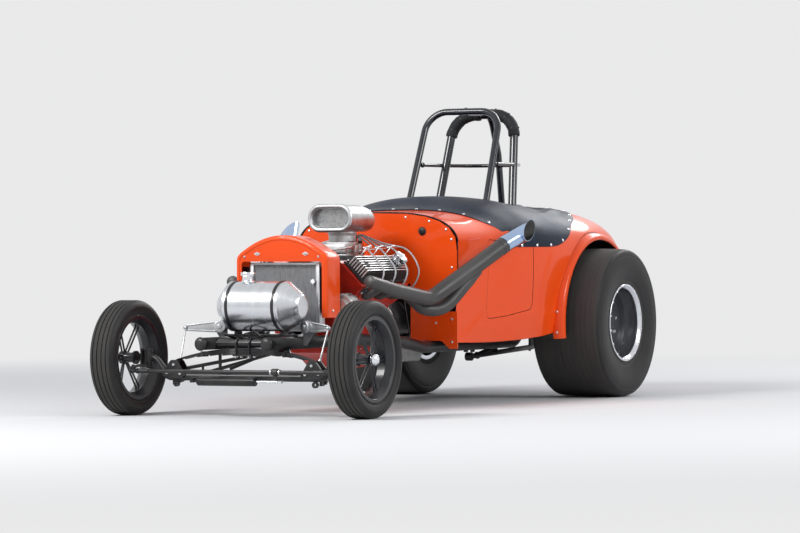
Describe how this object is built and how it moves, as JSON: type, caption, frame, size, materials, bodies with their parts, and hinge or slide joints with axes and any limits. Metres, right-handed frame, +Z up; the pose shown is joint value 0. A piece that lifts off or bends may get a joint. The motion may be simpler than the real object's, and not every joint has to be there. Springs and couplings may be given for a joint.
{
  "type": "drag racing car",
  "caption": "Front-engined drag racing car with an open roadster body, exposed V8, narrow steered front wheels, wide rear slicks and a padded roll cage.",
  "frame": {"origin": "on the floor under the middle of the car's bounding box", "axes": "+X to the car's left, -Y forward, +Z up"},
  "size_m": [1.585, 3.639, 1.5406],
  "materials": {
    "orange_paint": "gloss",
    "black_paint": "satin",
    "engine_red": "satin",
    "bare_aluminium": "satin",
    "polished_metal": "polished",
    "coated_black": "matte",
    "tyre_rubber": "matte",
    "black_vinyl": "satin",
    "foam_sleeve": "matte",
    "seat_fabric": "matte",
    "sheet_steel": "satin"
  },
  "bodies": {
    "chassis": {"frame": "black_paint", "front_axle": "black_paint", "front_spring": "black_paint", "radius_rod_l": "black_paint", "radius_rod_r": "black_paint", "lever_damper_l": "polished_metal", "lever_damper_r": "polished_metal", "fuel_tank": "bare_aluminium", "tank_cradle": "black_paint", "radiator_shell": "orange_paint", "radiator": "bare_aluminium", "engine_block": "engine_red", "valve_cover_l": "coated_black", "valve_cover_r": "coated_black", "intake": "coated_black", "air_scoop": "bare_aluminium", "front_drive": "bare_aluminium", "header_l": "coated_black", "header_r": "coated_black", "exhaust_tip_l": "polished_metal", "exhaust_tip_r": "polished_metal", "gearbox": "bare_aluminium", "propeller_shaft": "sheet_steel", "rear_axle": "black_paint", "coilover_l": "polished_metal", "coilover_r": "polished_metal", "firewall": "orange_paint", "body_shell": "orange_paint", "floor_pan": "sheet_steel", "rear_fender_l": "orange_paint", "rear_fender_r": "orange_paint", "tonneau_cover": "black_vinyl", "roll_cage": "black_paint", "hoop_pad_l": "foam_sleeve", "hoop_pad_r": "foam_sleeve", "seat": "seat_fabric", "steering_damper_tube": "black_paint"},
    "left_knuckle": {"knuckle_l": "black_paint"},
    "right_knuckle": {"knuckle_r": "black_paint"},
    "tie_bar": {"tie_rod": "black_paint"},
    "damper_piston": {"steering_damper_rod": "polished_metal"},
    "left_front_wheel": {"front_wheel_l": "black_paint", "front_tyre_l": "tyre_rubber", "hub_cap_l": "polished_metal"},
    "right_front_wheel": {"front_wheel_r": "black_paint", "front_tyre_r": "tyre_rubber", "hub_cap_r": "polished_metal"},
    "left_rear_wheel": {"rear_wheel_l": "bare_aluminium", "rear_tyre_l": "tyre_rubber"},
    "right_rear_wheel": {"rear_wheel_r": "bare_aluminium", "rear_tyre_r": "tyre_rubber"},
    "hand_wheel": {"steering_wheel": "black_paint"}
  },
  "joints": [
    {"name": "steer_left", "type": "hinge", "parent": "chassis", "child": "left_knuckle", "pos_m": [0.54, -1.5405, 0.279], "axis": [0, 0, 1], "range_deg": [-24, 24]},
    {"name": "steer_right", "type": "hinge", "parent": "chassis", "child": "right_knuckle", "pos_m": [-0.54, -1.5405, 0.279], "axis": [0, 0, 1], "range_deg": [-24, 24]},
    {"name": "tie_rod_swing", "type": "hinge", "parent": "left_knuckle", "child": "tie_bar", "pos_m": [0.54, -1.6855, 0.22], "axis": [0, 0, 1], "range_deg": [-24, 24]},
    {"name": "steering_damper_slide", "type": "slide", "parent": "chassis", "child": "damper_piston", "axis": [1, 0, 0], "range_m": [-0.0608, 0.0608]},
    {"name": "hand_wheel_turn", "type": "hinge", "parent": "chassis", "child": "hand_wheel", "pos_m": [0, 0.4195, 0.865], "axis": [0, 0.9222, 0.3867], "range_deg": [-144, 144]},
    {"name": "spin_front_left", "type": "hinge", "parent": "left_knuckle", "child": "left_front_wheel", "pos_m": [0.65, -1.5405, 0.279], "axis": [1, 0, 0], "continuous": true},
    {"name": "spin_front_right", "type": "hinge", "parent": "right_knuckle", "child": "right_front_wheel", "pos_m": [-0.65, -1.5405, 0.279], "axis": [1, 0, 0], "continuous": true},
    {"name": "spin_rear_left", "type": "hinge", "parent": "chassis", "child": "left_rear_wheel", "pos_m": [0.595, 1.1595, 0.394], "axis": [1, 0, 0], "continuous": true},
    {"name": "spin_rear_right", "type": "hinge", "parent": "chassis", "child": "right_rear_wheel", "pos_m": [-0.595, 1.1595, 0.394], "axis": [1, 0, 0], "continuous": true}
  ],
  "couplings": [
    {"joint": "steer_right", "follows": "steer_left", "ratio": 1},
    {"joint": "tie_rod_swing", "follows": "steer_left", "ratio": -1},
    {"joint": "steering_damper_slide", "follows": "steer_left", "m_per_rad": 0.145},
    {"joint": "hand_wheel_turn", "follows": "steer_left", "ratio": 6}
  ]
}
